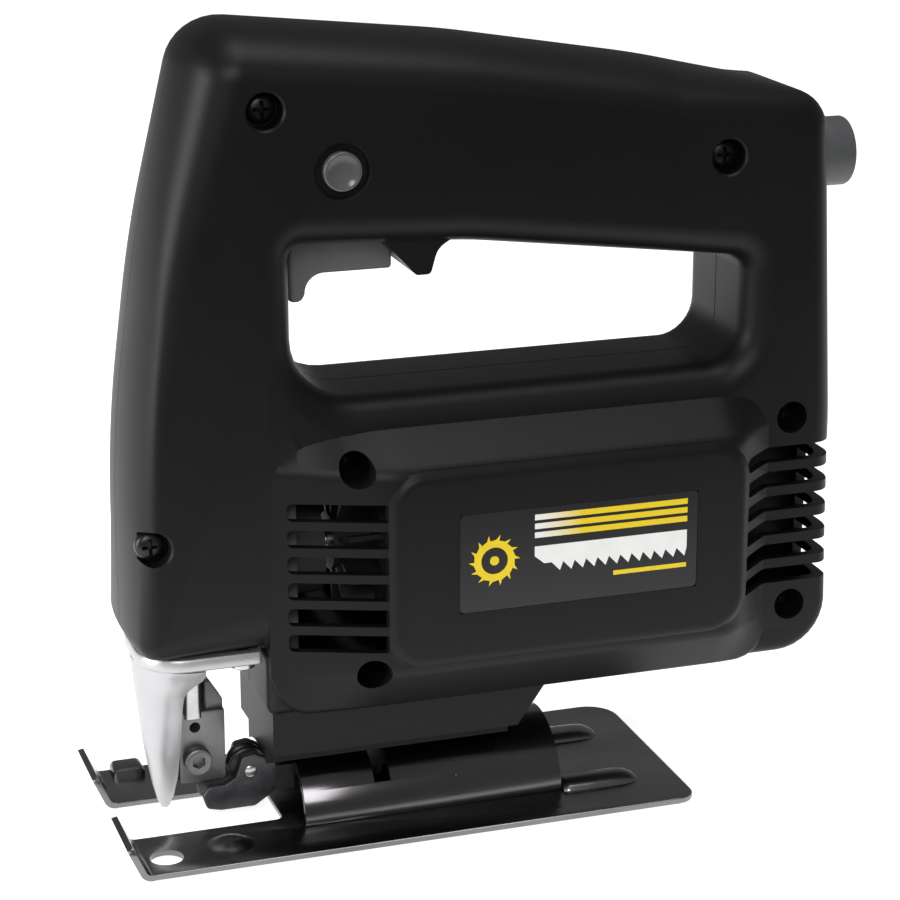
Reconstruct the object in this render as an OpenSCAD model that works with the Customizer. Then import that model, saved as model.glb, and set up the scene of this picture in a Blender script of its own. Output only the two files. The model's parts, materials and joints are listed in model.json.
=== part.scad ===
// D-handle jigsaw: a two-shell plastic casing round a motor, a crank drive and a plunger.
// X runs from the nose (-X) to the cord (+X), Z up, Y = 0 is the plane where the shells meet.
// The origin is the middle of the sole's underside.

/* [Casing] */
// Half width of the handle, the head and the rear column
body_half_w = 20; // [18:0.5:21]
// Half width over the motor
motor_half_w = 31; // [30:0.5:33]
// Wall thickness of the two shells
wall = 2.5; // [2:0.1:3]
// Height of the casing's underside below the motor
belly_z = 32; // [31:0.5:33]
// Height of the head's underside
head_z = 47.7; // [47:0.1:48.5]
// Radius that rounds the casing's edges
edge_r = 8; // [5:0.5:9]

/* [Motor and drive] */
// Height of the motor's axis above the sole
motor_z = 68; // [67:0.5:69]
// Radius of the field core
stator_r = 25; // [24:0.5:26]
// Radius of the armature core
armature_r = 15; // [14:0.5:15]
// Radius of the cooling fan
fan_r = 18; // [16:0.5:18]
// Module of the gear pair
gear_module = 0.6; // [0.6]
// Teeth of the armature's pinion
pinion_teeth = 9; // [9]
// Teeth of the drive gear
gear_teeth = 54; // [54]
// Throw of the crank pin: half the plunger's stroke
crank_throw = 9; // [8:0.5:9]

/* [Plunger] */
// Distance of the plunger's axis in front of the origin
plunger_x = -51; // [-51.5:0.5:-50.5]
// Radius of the plunger rod
rod_r = 4; // [3.5:0.5:4]

/* [Sole] */
// Length of the sole plate
sole_l = 140; // [138:1:142]
// Width of the sole plate
sole_w = 62; // [60:1:64]
// Thickness of the sole's sheet steel
sheet = 1.5; // [1.2:0.1:1.6]
// Outer radius of the tilt bracket
bracket_r = 17.3; // [17.3]
// Position of the tilt bolt along the sole
bolt_x = -6.8; // [-8:0.2:-6]

/* [Cord] */
// Radius of the cord sleeve
sleeve_r = 8.5; // [8:0.5:9]
// Radius of the cord's hole through the sleeve
cord_r = 3.75; // [3:0.25:4]

/* [Hidden] */
$fn = 48;
e = 0.01;
fit = 0.05;      // radial clearance of a running fit
gap = 0.3;       // clearance between bodies that move past each other
inner_half_w = body_half_w - wall;
gear_z = motor_z + gear_module * (pinion_teeth + gear_teeth) / 2;
crank_z = gear_z - crank_throw;
sleeve_z = 155;
sleeve_end = 117.2;
trigger_pivot = [-31, 151];
lock_at = [-16.6, 162];
roller_at = [-37.5, 12.6];
blade_screw_at = [-50.5, 17.2];
short_screws = [[-34.2, 176.5], [78, 159.4], [-62.6, 77]];
deep_screws = [[-15.8, 93.4], [-12.6, 43.2], [96.8, 93.8], [98, 45]];
clamp_x = 86;
clamp_z = [148, 162];
// Cooling slots: the lowest one's height, the pitch and the height of one slot
front_slots = [51.2, 6.44, 4.3];
rear_slots = [53.2, 6.3, 3.9];

// ---- outlines -------------------------------------------------------------------------

// An outline is a list of corners [across, up, radius], anticlockwise.
function unit(v) = v / norm(v);
function at(c) = [c[0], c[1]];
function corner_arc(a, b, c, r, n = 4) =
    let(u = unit(a - b), v = unit(c - b), half = acos(u * v) / 2,
        centre = b + unit(u + v) * r / sin(half),
        p = b + u * r / tan(half), q = b + v * r / tan(half),
        start = atan2(p.y - centre.y, p.x - centre.x),
        end = atan2(q.y - centre.y, q.x - centre.x),
        sweep = (end - start + 540) % 360 - 180)
    [for (i = [0:n]) centre + r * [cos(start + sweep * i / n), sin(start + sweep * i / n)]];
function smooth(c) = let(m = len(c)) [for (i = [0:m - 1])
    each corner_arc(at(c[(i + m - 1) % m]), at(c[i]), at(c[(i + 1) % m]), c[i][2])];
// The same outline moved inwards by d (outwards where d is negative)
function inset(c, d) = let(m = len(c)) [for (i = [0:m - 1])
    let(a = at(c[(i + m - 1) % m]), b = at(c[i]), f = at(c[(i + 1) % m]),
        e1 = unit(b - a), e2 = unit(f - b), n1 = [-e1.y, e1.x], n2 = [-e2.y, e2.x],
        turn = e1.x * e2.y - e1.y * e2.x, p = b + d * (n1 + n2) / (1 + n1 * n2))
    [p.x, p.y, max(0.4, turn > 0 ? c[i][2] - d : c[i][2] + d)]];

body_line = [[-36, belly_z, 2], [108.6, belly_z, 13], [109, 92, 150], [104.8, 171.7, 10],
    [62, 181.7, 200], [14, 189.7, 200], [-48.9, 196.3, 13], [-61, 143, 300], [-67.3, 97, 300],
    [-67.3, head_z, 6], [-36, head_z, 1]];
grip_line = [[-28, 108, 15], [84.3, 108, 9], [84.3, 134, 4], [15, 142.8, 100],
    [-28, 144.8, 3]];
spur_line = [[-6.5, 146.5], [-5, 143.4], [1.9, 136], [2.7, 135.6], [5.1, 135.6], [5.8, 136.2],
    [6.9, 139.7], [9.1, 142.9], [12, 144.6], [12, 146.5]];
bump_line = [[-35.4, belly_z + 1, 4], [93, belly_z + 1, 10], [93, 101.5, 10],
    [-35.4, 101.5, 10]];
// Half of the motor bulge seen from above, and seen from the front
bump_plan = [[-40, -10], [94, -10], [94, body_half_w - 2.5], [80, motor_half_w],
    [-9, motor_half_w - 0.5], [-40, body_half_w - 2]];
bump_front = [[-10, belly_z - 2], [body_half_w, belly_z - 2], [motor_half_w, belly_z + 12],
    [motor_half_w, 92], [body_half_w - 2, 102.6], [-10, 102.6]];

// ---- small shapes ---------------------------------------------------------------------

// A flat outline in X and Z, from y0 to y1
module slab_y(points, y0, y1) {
    translate([0, y1, 0]) rotate([90, 0, 0]) linear_extrude(y1 - y0) polygon(points);
}
// A flat outline in Y and Z, from x0 to x1
module slab_x(points, x0, x1) {
    translate([x0, 0, 0]) rotate([90, 0, 90]) linear_extrude(x1 - x0) polygon(points);
}
module rod_x(r, x0, x1, z = 0, y = 0) {
    translate([x0, y, z]) rotate([0, 90, 0]) cylinder(r = r, h = x1 - x0);
}
module rod_y(r, y0, y1, x = 0, z = 0) {
    translate([x, y1, z]) rotate([90, 0, 0]) cylinder(r = r, h = y1 - y0);
}
module rod_z(r, z0, z1, x = 0, y = 0) {
    translate([x, y, z0]) cylinder(r = r, h = z1 - z0);
}
module block(low, high) {
    translate(low) cube(high - low);
}
// A compression spring of round wire, along Z
module coil(r, wire, h, turns) {
    sides = 6;
    steps = turns * 12;
    ring = function(i) let(a = 360 * turns * i / steps)
        [for (k = [0:sides - 1]) let(b = 360 * k / sides, q = r + wire * cos(b))
            [q * cos(a), q * sin(a), wire + (h - 2 * wire) * i / steps + wire * sin(b)]];
    points = [for (i = [0:steps]) each ring(i)];
    walls = [for (i = [0:steps - 1], k = [0:sides - 1]) let(k2 = (k + 1) % sides)
        [i * sides + k, (i + 1) * sides + k, (i + 1) * sides + k2, i * sides + k2]];
    caps = [[for (k = [0:sides - 1]) k],
        [for (k = [sides - 1:-1:0]) steps * sides + k]];
    polyhedron(points, concat(walls, caps));
}
// A pan-head screw along +Y, its head's underside at y = 0
module pan_screw(head_r, head_h, shank_r, l) {
    difference() {
        union() {
            rod_y(head_r, -head_h * 0.6, 0);
            rod_y(head_r * 0.8, -head_h, 0);
            rod_y(shank_r, 0, l);
        }
        for (a = [0, 90])
            rotate([0, a, 0]) block([-head_r * 0.55, -head_h - e, -0.4],
                [head_r * 0.55, -head_h * 0.35, 0.4]);
    }
}

// ---- the two shells --------------------------------------------------------------------

// Half of the casing's main body, solid, on the +Y side: its edge is stepped in once
module half_form(d, y0) {
    w = body_half_w - d;
    for (s = [[y0, 0.8 * w, 0], [0.8 * w, w, 0.35 * edge_r]])
        difference() {
            slab_y(smooth(inset(body_line, d + s[2])), s[0], s[1]);
            slab_y(smooth(inset(grip_line, -d - s[2])), -5, w + 5);
        }
}
// The bulge over the motor, on the +Y side
module half_bump(d, y0) {
    intersection() {
        slab_y(smooth(inset(bump_line, d)), y0, motor_half_w + 1);
        translate([0, 0, belly_z - 5]) linear_extrude(90)
            polygon([for (p = bump_plan) [p.x, p.y - d]]);
        slab_x([for (p = bump_front) [p.x - d, p.y]], -50, 110);
    }
}
// The foot of the casing that rides on the tilt bracket
module saddle() {
    difference() {
        slab_y([[-34.5, 12], [27.7, 12], [27.7, 20.5], [37.2, belly_z + 1.5],
            [-34.5, belly_z + 1.5]], 0, 16);
        rod_x(bracket_r + gap, -40, 40);
        block([-40, 8.4, 5], [45, 20, 20.3]);
    }
}
// Posts and ribs inside one shell: what is left standing in the cavity
module inner_posts() {
    for (p = short_screws) rod_y(4.7, -5, body_half_w, p.x, p.y);
    for (p = deep_screws) rod_y(5.4, -5, motor_half_w, p.x, p.y);
    rod_y(3, 9.6, body_half_w, trigger_pivot.x, trigger_pivot.y);
    rod_y(6.8, 12.3, body_half_w, lock_at.x, lock_at.y);
    slab_y(spur_line, -5, 15);
    block([-70, -5, 55], [-42.5, 20, 70.3]);
    block([-70, -5, 111.5], [-42.5, 20, 124.5]);
    for (x = [[73.2, 81.6], [16, 18.5], [39.5, 42]])
        block([x[0], -5, 30], [x[1], 40, 103]);
}
module vents() {
    for (i = [0:5]) {
        z = front_slots[0] + front_slots[1] * i;
        block([-31.5, 15, z - front_slots[2] / 2], [-9.4, 40, z + front_slots[2] / 2]);
        z2 = rear_slots[0] + rear_slots[1] * i;
        block([82, 4, z2 - rear_slots[2] / 2], [120, 40, z2 + rear_slots[2] / 2]);
    }
}
// What both shells share, on the +Y side
module shell_half() {
    difference() {
        union() {
            half_form(0, 0);
            half_bump(0, 1);
            saddle();
            slab_y(spur_line, 0, 15);
        }
        difference() {
            union() {
                half_form(wall, -3);
                half_bump(wall, -3);
            }
            inner_posts();
        }
        vents();
        // seats of the motor, its rear bearing, the plunger's bushes and seal
        rod_x(stator_r, 13, 45, motor_z);
        rod_x(9.5, 75, 81, motor_z);
        rod_x(6, 72, 84, motor_z);
        rod_z(8, 58, 69.5, plunger_x);
        rod_z(6.5, 56.5, 58.5, plunger_x);
        rod_z(5, 50, 130, plunger_x);
        rod_z(8, 112, 124, plunger_x);
        block([-57, -5, 40], [-41.5, 6.5, 56]);
        // the trigger's slot and pin
        block([-27.8, -5, 130], [2.2, 7.4, 149]);
        rod_y(1.5, -5, 16, trigger_pivot.x, trigger_pivot.y);
        // the cord's way out
        rod_x(sleeve_r, 95, 115, sleeve_z);
        // the tilt bolt and its nut
        block([bolt_x - 3.5, -5, 23], [bolt_x + 3.5, 3.5, 26.2]);
        rod_z(2.05, 10, 30, bolt_x);
    }
}
module left_housing() color([0.05, 0.045, 0.05]) difference() {
    mirror([0, 1, 0]) shell_half();
    for (p = short_screws) {
        rod_y(1.6, -body_half_w, 1, p.x, p.y);
        rod_y(4.2, -body_half_w - 1, -body_half_w + 5.5, p.x, p.y);
    }
    for (p = deep_screws) {
        rod_y(1.6, -body_half_w, 1, p.x, p.y);
        rod_y(4, -motor_half_w - 5, -11, p.x, p.y);
    }
    // stepped bore of the lock-on button
    rod_y(4.5 + fit, -body_half_w - 1, -12, lock_at.x, lock_at.y);
    rod_y(6.2, -body_half_w - 1, -body_half_w + 1.2, lock_at.x, lock_at.y);
    // seat of the label
    block([7.4, -motor_half_w - 1, 57.2], [67.6, -motor_half_w + 0.3, 81.7]);
}
module right_housing() color([0.05, 0.045, 0.05]) difference() {
    union() {
        shell_half();
        // posts for the cord clamp's screws
        for (z = clamp_z) rod_y(3, -3.5, inner_half_w + 1, clamp_x, z);
        // baffle that parts the outgoing air behind the motor
        block([83, 0.2, 34], [107, 2.2, 100]);
    }
    for (p = concat(short_screws, deep_screws)) rod_y(1.5, -1, 13, p.x, p.y);
    for (z = clamp_z) rod_y(1.2, -4, 8, clamp_x, z);
}
module casing_screws() color("dimgray")
    for (p = short_screws) translate([p.x, -body_half_w + 5.5, p.y]) pan_screw(3.5, 2.4, 1.5, 26);
module motor_screws() color("dimgray")
    for (p = deep_screws) translate([p.x, -11, p.y]) pan_screw(3.5, 2.4, 1.5, 22);
module label_plate() color([0.02, 0.02, 0.02])
    block([7.5, -motor_half_w, 57.3], [67.5, -motor_half_w + 0.3, 81.6]);

// ---- nose guard ------------------------------------------------------------------------

module nose_guard() color([0.85, 0.85, 0.86]) difference() {
    union() {
        slab_y([[-64.5, head_z - 3.2], [-36.5, head_z - 3.2], [-36.5, head_z - e],
            [-65, head_z - e]], -16, 16);
        intersection() {
            slab_y([[-59, 4], [-57, 4], [-55.2, 14], [-54.8, 24], [-54.8, 35], [-53, 39.4],
                [-50, 40.8], [-50, head_z - 3], [-65.2, head_z - 3], [-63.4, 27], [-61.8, 15]],
                -16, 16);
            slab_x([[-1.6, 3.9], [1.6, 3.9], [5, 14], [8.5, 26], [11, 38], [16, head_z],
                [-16, head_z], [-11, 38], [-8.5, 26], [-5, 14]], -70, -40);
        }
    }
    // the channel behind the nose and the window that the blade holder rises through
    intersection() {
        slab_y([[-59.5, 10], [-40, 10], [-40, 50], [-62, 50], [-61.5, 28]], -20, 20);
        slab_x([[-1.2, 8], [1.2, 8], [3.6, 15], [6.6, 26], [8.6, 38], [8.6, 50],
            [-8.6, 50], [-8.6, 38], [-6.6, 26], [-3.6, 15]], -70, -40);
    }
    block([-57, -6.5, 40], [-41.5, 6.5, 50]);
    for (y = [-12, 12]) rod_z(1.6, 40, 50, -40.5, y);
}
module guard_screws() color("silver")
    for (y = [-12, 12]) {
        rod_z(3, head_z - 5, head_z - 3.2, -40.5, y);
        rod_z(1.5, head_z - 3.2, head_z, -40.5, y);
    }

// ---- switch, trigger, lock-on button, cord entry -----------------------------------------

module switch_body() color([0.12, 0.12, 0.13]) difference() {
    union() {
        block([-26, -9, 158.5], [12, 9, 178]);
        for (y = [-5, 5]) block([12, y - 1.5, 162], [18, y + 1.5, 162.8]);
    }
    block([-11.5, -3.5, 158], [-0.5, 3.5, 168]);
    rod_y(2.3, -10, -6, lock_at.x, lock_at.y);
}
module trigger() color([0.36, 0.36, 0.37]) difference() {
    union() {
        slab_y(concat([[-1.2, 135.7], [-1.2, 149.5], [-26.1, 149.5], [-26.1, 130],
            [-25.3, 129.2], [-23.4, 129.2]],
            [for (a = [180:-15:90]) [-17.6 + 4.5 * cos(a), 131.2 + 4.5 * sin(a)]]), -7, 7);
        block([-30, -9.2, 148.3], [1, 9.2, 150.5]);
        slab_y([[-34, 148.3], [-20, 148.3], [-20, 153], [-34, 153]], -7, 7);
        block([-8, -2.5, 150], [-4, 2.5, 161]);
    }
    rod_y(1.5 + fit, -10, 10, trigger_pivot.x, trigger_pivot.y);
}
module trigger_pin() color("silver")
    rod_y(1.5, -16, 16, trigger_pivot.x, trigger_pivot.y);
module trigger_spring() color("silver")
    translate([-22.5, 0, 153.05]) coil(2.2, 0.3, 5.4, 4);
module lock_button() color([0.45, 0.45, 0.46]) union() {
    rod_y(4.5, -body_half_w - 0.6, -13.2, lock_at.x, lock_at.y);
    rod_y(2, -13.2, -9.4, lock_at.x, lock_at.y);
}
module lock_spring() color("silver")
    translate([lock_at.x, -9.05, lock_at.y]) rotate([90, 0, 0]) coil(3, 0.3, 4.1, 3);
module cord_sleeve() color([0.3, 0.3, 0.31]) difference() {
    union() {
        rod_x(sleeve_r, 96, sleeve_end, sleeve_z);
        rod_x(10.5, 99.6, 102.6, sleeve_z);
    }
    rod_x(cord_r, 95, 122, sleeve_z);
}
module cord_clamp() color([0.12, 0.12, 0.13]) difference() {
    block([83.2, -6.5, 144.5], [90, -3.5, 165.5]);
    rod_x(cord_r, 80, 92, 155);
    for (z = clamp_z) rod_y(1.4, -8, 0, clamp_x, z);
}
module clamp_screws() color("silver")
    for (z = clamp_z) translate([clamp_x, -6.5, z]) pan_screw(2.4, 1.8, 1.2, 12);

// ---- motor -----------------------------------------------------------------------------

module stator_core() color([0.4, 0.4, 0.42]) difference() {
    rod_x(stator_r, 14, 44, motor_z);
    rod_x(armature_r + 0.6, 13, 45, motor_z);
    // windows for the field coils at both sides
    intersection() {
        rod_x(21.2, 13, 45, motor_z);
        block([12, -22, motor_z - 9.5], [46, 22, motor_z + 9.5]);
    }
}
module field_coils() color([0.6, 0.3, 0.12])
    for (s = [0, 1]) translate([0, 0, motor_z]) mirror([0, 0, s]) {
        // two straight legs, and the end turns that join them over the pole
        difference() {
            union() {
                intersection() {
                    rod_x(21, 8.5, 49.5);
                    block([8, -22, 0.6], [50, 22, 9.3]);
                }
                for (x = [8.5, 44.5]) intersection() {
                    rod_x(21, x, x + 5);
                    block([x, -22, 0.6], [x + 5, 22, 22]);
                }
            }
            rod_x(armature_r + 1, 8, 50);
        }
    }
module armature_shaft() color("silver") union() {
    rod_x(3, -31.5, 82, motor_z);
    rod_x(4, -17, 73, motor_z);
    translate([-38.5, 0, motor_z]) rotate([90, 0, 90]) linear_extrude(8)
        polygon(gear_outline(pinion_teeth, 0.62, 0.85, 90));
}
// A spur gear's outline: flanks thinned for running clearance
function gear_outline(teeth, addendum, dedendum, phase) =
    let(r = gear_module * teeth / 2, half = 90 / teeth * 0.7)
    [for (i = [0:teeth - 1]) let(a = phase + 360 * i / teeth)
        each [for (p = [[-1.25, -dedendum], [-1, 0], [-0.42, addendum], [0.42, addendum],
            [1, 0], [1.25, -dedendum]])
            (r + p[1] * gear_module) * [cos(a + p[0] * half), sin(a + p[0] * half)]]];
module armature_core() color([0.45, 0.45, 0.46]) difference() {
    rod_x(armature_r, 15, 43, motor_z);
    rod_x(4, 14, 44, motor_z);
    translate([0, 0, motor_z]) for (i = [0:11])
        rotate([i * 30, 0, 0]) block([14, -1.3, armature_r - 3.4], [44, 1.3, armature_r + 1]);
}
module armature_windings() color([0.65, 0.33, 0.12]) difference() {
    union() {
        for (x = [10, 43]) rod_x(13.2, x, x + 5, motor_z);
        translate([0, 0, motor_z]) for (i = [0:11])
            rotate([i * 30, 0, 0]) block([12, -1.2, armature_r - 3.2], [46, 1.2, armature_r - 1]);
    }
    rod_x(4, 8, 50, motor_z);
}
module commutator() color([0.75, 0.45, 0.25]) difference() {
    rod_x(9.5, 56, 68, motor_z);
    rod_x(4, 55, 69, motor_z);
    translate([0, 0, motor_z]) for (i = [0:11])
        rotate([15 + i * 30, 0, 0]) block([55, -0.25, 8.7], [69, 0.25, 10]);
}
module cooling_fan() color([0.1, 0.1, 0.11]) difference() {
    union() {
        rod_x(7, -16, -5, motor_z);
        rod_x(fan_r, -7, -5.5, motor_z);
        translate([0, 0, motor_z]) for (i = [0:9])
            rotate([i * 36, 0, 0]) block([-15, -0.6, 5], [-6, 0.6, fan_r - 0.4]);
    }
    rod_x(4, -18, 0, motor_z);
}
module ball_bearing(x) difference() {
    rod_x(9.5, x, x + 6, motor_z);
    rod_x(3 + fit, x - 1, x + 7, motor_z);
    for (s = [x - 1, x + 5.4]) difference() {
        rod_x(7.6, s, s + 1.6, motor_z);
        rod_x(4.8, s - 1, s + 3, motor_z);
    }
}
module front_bearing() color("silver") ball_bearing(-26);
module rear_bearing() color("silver") ball_bearing(75);
module brush_holders() color([0.8, 0.65, 0.3])
    for (s = [0, 1]) mirror([0, s, 0]) difference() {
        block([58.4, 10.5, motor_z - 4], [66.4, 24, motor_z + 4]);
        block([59.4, 10, motor_z - 3], [65.4, 23, motor_z + 3]);
    }
module brushes() color([0.15, 0.15, 0.15])
    for (s = [0, 1]) mirror([0, s, 0])
        block([59.4, 9.5 + fit, motor_z - 3], [65.4, 17, motor_z + 3]);
module brush_springs() color("silver")
    for (s = [0, 1]) mirror([0, s, 0])
        translate([62.4, 17, motor_z]) rotate([-90, 0, 0]) coil(2.2, 0.3, 6, 4);

// ---- reduction gear, crank and plunger ----------------------------------------------------

module gear_plate() color([0.75, 0.76, 0.78]) difference() {
    union() {
        slab_x(smooth([[-16.8, 41, 4], [16.8, 41, 4], [16.8, 101, 6], [-16.8, 101, 6]]), -31, -28);
        rod_x(12, -28.5, -19.5, motor_z);
        rod_x(6.5, -28.5, -24, gear_z);
    }
    rod_x(9.5, -26, -19, motor_z);
    rod_x(6.5, -32, -18, motor_z);
    rod_x(4, -32, -20, gear_z);
    // room for the two screw posts beside the plate
    for (y = [-13, 13]) rod_x(1.6, -32, -27, 46, y);
}
module gear_axle() color("silver") rod_x(4, -38.6, -24, gear_z);
module drive_gear() color([0.5, 0.5, 0.52]) difference() {
    translate([-38, 0, gear_z]) rotate([90, 0, 90]) linear_extrude(5.5)
        polygon(gear_outline(gear_teeth, 0.75, 1.0, 360 / gear_teeth / 2 + 90));
    rod_x(4 + fit, -40, -30, gear_z);
    rod_x(2, -40, -30, crank_z);
    for (a = [70, 110, 250, 290]) translate([0, 10.5 * cos(a + 90), gear_z + 10.5 * sin(a + 90)])
        rod_x(2, -40, -30);
}
module crank_pin() color("silver") union() {
    rod_x(2, -38, -33, crank_z);
    rod_x(3, -40.7, -38, crank_z);
}
module plunger_rod() color("silver") rod_z(rod_r, 27.5, 126, plunger_x);
module plunger_yoke() color([0.6, 0.6, 0.62]) difference() {
    block([-51, -14, crank_z - 6.5], [-41, 14, crank_z + 6.5]);
    block([-46.5, -12.2, crank_z - 3.1], [-40, 12.2, crank_z + 3.1]);
    rod_z(rod_r, 50, 120, plunger_x);
}
module bush(z0, z1) difference() {
    rod_z(8, z0, z1, plunger_x);
    rod_z(rod_r + fit, z0 - 1, z1 + 1, plunger_x);
}
module lower_bush() color([0.72, 0.55, 0.3]) bush(58, 69.5);
module upper_bush() color([0.72, 0.55, 0.3]) bush(112, 124);
module dust_seal() color([0.2, 0.2, 0.2]) difference() {
    rod_z(6.5, 56.5, 58, plunger_x);
    rod_z(rod_r + fit, 56, 59, plunger_x);
}
module blade_holder() color([0.5, 0.5, 0.51]) difference() {
    slab_y([[-54.6, 10.8], [-43.2, 10.8], [-43.2, 31], [-46.2, 35.8], [-54.6, 35.8]],
        -3.4, 3.4);
    block([-56, -4, 29], [-40, -1.6, 37]);
    block([-53.2, -0.85, 9.8], [-44.8, 0.85, 27]);
    rod_z(rod_r, 27.5, 40, plunger_x);
    rod_y(1.3, -5, 0, -50.6, 25.1);
    rod_y(1.5, -5, 0, blade_screw_at.x, blade_screw_at.y);
}
module blade_screw() color("silver") difference() {
    union() {
        rod_y(3.4, -6.6, -3.4, blade_screw_at.x, blade_screw_at.y);
        rod_y(1.5, -3.4, -0.85, blade_screw_at.x, blade_screw_at.y);
    }
    rod_y(1.6, -7, -5, blade_screw_at.x, blade_screw_at.y, $fn = 6);
}

// ---- tilting sole and blade guide --------------------------------------------------------

// The bolt passes up through the guide arm and the bracket's slot into a nut in the saddle
module tilt_bolt() color("dimgray") difference() {
    union() {
        rod_z(4, 6.5, 9, bolt_x);
        rod_z(2, 9, 26, bolt_x);
    }
    translate([bolt_x, 0, 6]) cylinder(r = 2.2, h = 2, $fn = 6);
}
module tilt_nut() color("silver") difference() {
    block([bolt_x - 3.5, -3.5, 23], [bolt_x + 3.5, 3.5, 26.2]);
    rod_z(2, 22, 28, bolt_x);
}
module tilt_bracket() color([0.35, 0.34, 0.36]) difference() {
    intersection() {
        rod_x(bracket_r, -27, 39);
        block([-30, -20, sheet], [45, 20, 20]);
    }
    rod_x(bracket_r - 1.8, -28, 40);
    // slot that the bolt follows as the sole tilts
    intersection() {
        block([bolt_x - 2.1, -15, 8.6], [bolt_x + 2.1, 15, 20]);
        rod_x(30, -20, 10);
    }
}
module sole_plate() color([0.5, 0.5, 0.52]) difference() {
    union() {
        translate([0, 0, 0]) linear_extrude(sheet) polygon(smooth([
            [-sole_l / 2, -sole_w / 2, 2], [sole_l / 2, -sole_w / 2, 5],
            [sole_l / 2, sole_w / 2, 8], [-sole_l / 2, sole_w / 2, 2]]));
        // front edges turned up
        slab_y([[-70, 0], [-69, 0], [-69, sheet], [-69.6, sheet], [-72.8, 8.8], [-74, 8.2]],
            -sole_w / 2 + 1.5, sole_w / 2 - 1.5);
        // pressed ribs behind the bracket
        for (y = [-14.5, 14.5]) intersection() {
            rod_x(4.5, 39.5, 60, -0.7, y);
            block([35, -30, 0], [62, 30, 5]);
        }
        // loop that a rip fence slides through
        block([-65.4, 25, sheet - e], [-57.4, 31, sheet + 2.4]);
        // dimple pressed up in the left foot
        intersection() {
            translate([-46.5, -20.4, sheet - 7.4]) sphere(9);
            block([-60, -30, 0.5], [-35, -10, 6]);
        }
    }
    // the open slot between the feet
    translate([0, 0, -1]) linear_extrude(12) polygon(smooth([
        [-80, -10.6, 0.5], [-31, -10.6, 2], [-31, 10.6, 2], [-80, 10.6, 0.5]]));
    rod_z(4, -1, 5, -62.6, -22.6);
    block([-64.3, 24, sheet - e], [-58.5, 32, sheet + 1.6]);
    // way in for the key that turns the tilt bolt
    rod_z(3.2, -1, 3, bolt_x);
    for (y = [-14.5, 14.5]) intersection() {
        rod_x(3, 41, 58.5, -0.7, y);
        block([34, -30, -1], [62, 30, 5]);
    }
}
module guide_arm() color([0.45, 0.45, 0.46]) difference() {
    union() {
        block([-32.5, -3, 5.6], [-26, 3, 12]);
        block([-26.5, -3, 9], [0, 3, 12]);
        // pad that the bolt clamps against the inside of the bracket
        intersection() {
            rod_x(bracket_r - 1.8 - fit, -13, -1);
            block([-12.8, -4, 9], [-0.8, 4, 16]);
        }
        for (s = [0, 1]) mirror([0, s, 0])
            slab_y([[-32.2, 6], [-31.4, 8], [-31.4, 14.6], [-36, 17], [-39.5, 16.5], [-41, 11.5],
                [-44, 9.8], [-48, 9.8], [-49.5, 7.5], [-48.5, 4], [-45, 3.2], [-36.5, 3.2]],
                2.8, 5.4);
        block([-32.5, -5.4, 7.5], [-31.4, 5.4, 14.4]);
    }
    rod_z(2, 8, 17, bolt_x);
    rod_y(1.5, -6, 6, roller_at.x, roller_at.y);
}
module roller_shape() rotate_extrude()
    polygon([[1.5 + fit, -2.4], [4.6, -2.4], [4.6, -1.4], [3.8, -0.8], [3.8, 0.8], [4.6, 1.4],
        [4.6, 2.4], [1.5 + fit, 2.4]]);
module guide_roller() color([0.2, 0.2, 0.21])
    translate([roller_at.x, 0, roller_at.y]) rotate([90, 0, 0]) roller_shape();
module roller_pin() color("silver")
    rod_y(1.5, -5.6, 5.6, roller_at.x, roller_at.y);

left_housing();
right_housing();
casing_screws();
motor_screws();
label_plate();
nose_guard();
guard_screws();
switch_body();
trigger();
trigger_pin();
trigger_spring();
lock_button();
lock_spring();
cord_sleeve();
cord_clamp();
clamp_screws();
stator_core();
field_coils();
armature_shaft();
armature_core();
armature_windings();
commutator();
cooling_fan();
front_bearing();
rear_bearing();
brush_holders();
brushes();
brush_springs();
gear_plate();
gear_axle();
drive_gear();
crank_pin();
plunger_rod();
plunger_yoke();
lower_bush();
upper_bush();
dust_seal();
blade_holder();
blade_screw();
tilt_bolt();
tilt_nut();
tilt_bracket();
sole_plate();
guide_arm();
guide_roller();
roller_pin();
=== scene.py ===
import json
import math

import bpy
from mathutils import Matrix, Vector


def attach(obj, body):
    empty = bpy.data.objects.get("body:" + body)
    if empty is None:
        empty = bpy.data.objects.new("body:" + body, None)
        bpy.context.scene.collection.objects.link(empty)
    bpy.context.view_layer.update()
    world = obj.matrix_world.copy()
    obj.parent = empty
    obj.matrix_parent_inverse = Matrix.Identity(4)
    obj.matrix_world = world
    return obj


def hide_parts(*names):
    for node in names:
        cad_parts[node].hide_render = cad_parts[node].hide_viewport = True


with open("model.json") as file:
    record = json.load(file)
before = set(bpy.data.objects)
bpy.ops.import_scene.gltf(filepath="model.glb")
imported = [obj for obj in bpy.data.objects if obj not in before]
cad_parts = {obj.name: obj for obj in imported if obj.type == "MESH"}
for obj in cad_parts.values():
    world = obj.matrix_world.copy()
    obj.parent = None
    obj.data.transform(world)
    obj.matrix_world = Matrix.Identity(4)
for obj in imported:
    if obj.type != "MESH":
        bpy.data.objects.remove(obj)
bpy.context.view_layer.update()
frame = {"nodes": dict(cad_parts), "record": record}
nodes = frame["nodes"]
mm = 0.001

# ---- camera, floor and light ----------------------------------------------------------------
# The saw stands on a table whose far part glows, a painted glow that lights the saw from
# below and behind, and whose near end is painted dark, painted shade in front of the saw.
# It is seen from its left side, a little from above and from the nose. Soft lamps stand to
# the front left.

bpy.ops.object.select_all(action="DESELECT")
bpy.ops.object.camera_add(
    location=(-0.1792, -0.58147, 0.28093),
    rotation=(math.radians(72.5), 0, math.radians(-18.5)),
)
camera = bpy.context.object
camera.data.lens = 106.04
camera.data.clip_start = 0.01
bpy.context.scene.camera = camera

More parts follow.
